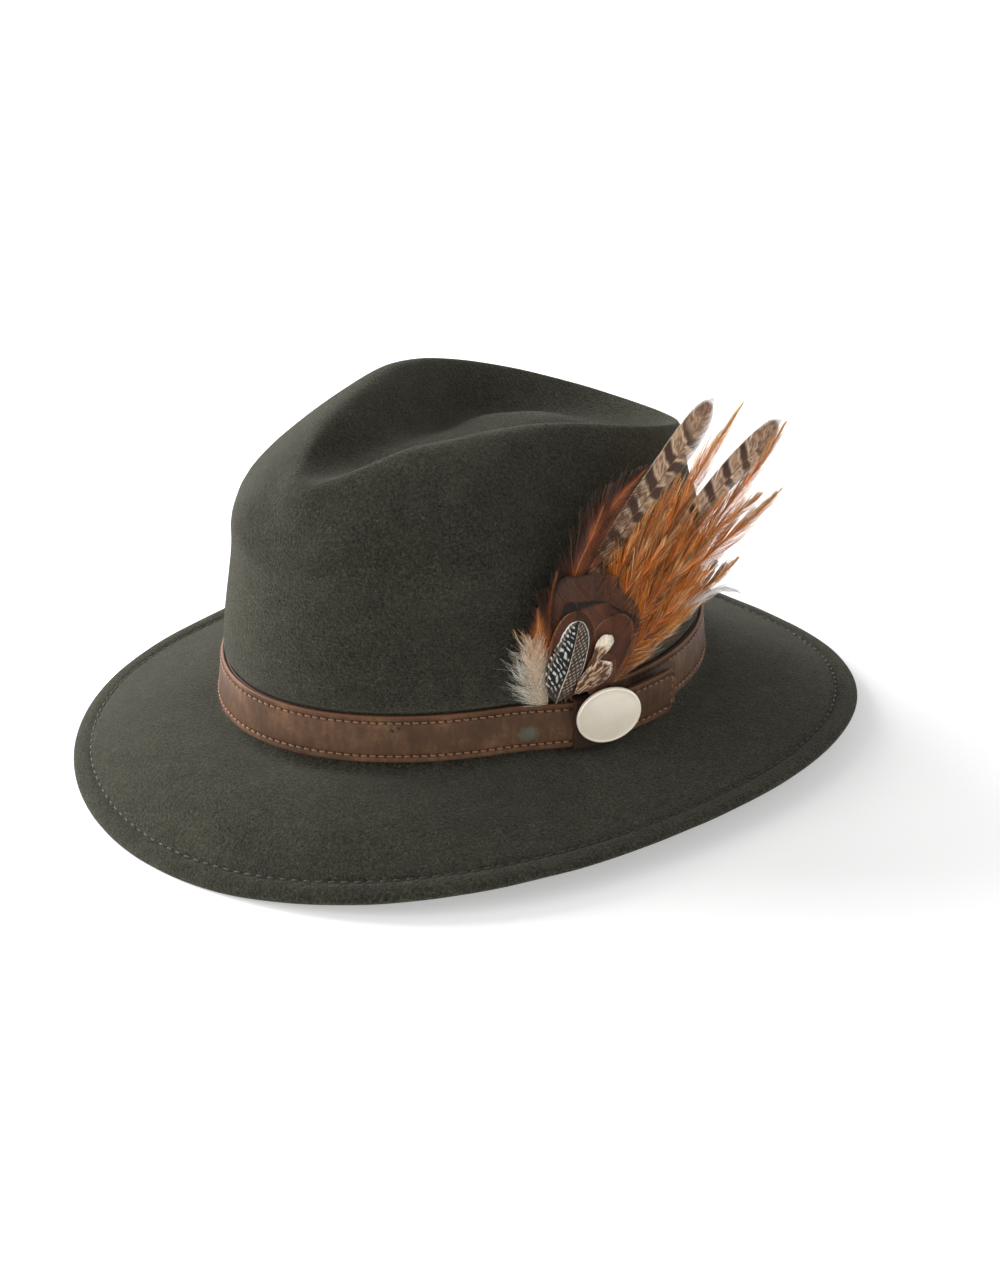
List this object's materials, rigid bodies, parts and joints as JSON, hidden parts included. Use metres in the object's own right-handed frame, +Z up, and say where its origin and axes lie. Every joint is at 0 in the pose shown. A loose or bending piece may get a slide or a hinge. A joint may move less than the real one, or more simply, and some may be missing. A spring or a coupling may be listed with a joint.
{
  "type": "fedora hat",
  "caption": "Felt fedora with teardrop-creased crown, turned and stitched brim edge, stitched leather strap band with round medallion, and a feather mount at the side.",
  "frame": {"origin": "on the surface the hat stands on, under the middle of the brim's outline", "axes": "+Z up, the hat's front towards -Y, the wearer's left (feather side) towards +X; the hat stands on the front and back edges of its brim"},
  "size_m": [0.2808, 0.3302, 0.1555],
  "materials": {
    "felt": "wool felt, short dense nap, olive green",
    "felt_thread": "thread close to the felt's colour",
    "leather": "matt tan-brown strap leather",
    "backing": "suede side out, dark brown",
    "thread": "tan polyester sewing thread",
    "pale_gold": "polished pale gold plate",
    "sweatband": "smooth dark brown sweatband leather",
    "reed": "plain cord reed",
    "ribbon": "black ribbon, no lettering",
    "pad": "brown felt pad",
    "feather_barred": "buff with dark brown bars",
    "feather_ginger": "ginger, glossy barbs",
    "feather_dark": "dark bronze brown",
    "feather_cream": "cream, downy",
    "feather_spotted": "black with pale spots",
    "feather_grey": "pale grey-buff"
  },
  "bodies": {
    "hat": {"felt_body": "felt", "brim_stitch_top": "felt_thread", "brim_stitch_under": "felt_thread", "hatband_leather": "leather", "hatband_backing": "backing", "hatband_stitch_upper": "thread", "hatband_stitch_lower": "thread", "hatband_stitch_upper_tail": "thread", "hatband_stitch_lower_tail": "thread", "hatband_stitch_tail_end": "thread", "hatband_tack_front": "thread", "hatband_tack_side": "thread", "keeper_loop": "leather", "medallion_disc": "pale_gold", "medallion_stud": "pale_gold", "sweatband": "sweatband", "sweatband_reed": "reed", "sweatband_stitch": "felt_thread", "sweatband_bow": "ribbon", "size_label": "ribbon"},
    "feather_mount": {"feather_backing_pad": "pad", "feather_quill_binding": "pad", "feather_pheasant_long": "feather_barred", "feather_pheasant_short": "feather_barred", "feather_guineafowl": "feather_spotted", "feather_fluff": "feather_cream", "feather_cream_upper": "feather_cream", "feather_cream_lower": "feather_cream", "feather_hackle_grey": "feather_grey", "feather_hackle_high": "feather_ginger", "feather_hackle_far": "feather_ginger", "feather_hackle_mid": "feather_ginger", "feather_hackle_wide": "feather_ginger", "feather_hackle_low": "feather_ginger", "feather_hackle_edge": "feather_ginger", "feather_dark_high": "feather_dark", "feather_dark_mid": "feather_dark", "feather_dark_low": "feather_dark", "feather_ginger_left": "feather_ginger", "feather_body_upper": "feather_dark", "feather_body_right": "feather_dark", "feather_body_left": "feather_dark"}
  },
  "joints": [
    {"name": "feather_mount_slide", "type": "slide", "parent": "hat", "child": "feather_mount", "axis": [-0.0172, 0.0372, 0.9992], "range_m": [0, 0.05]}
  ]
}
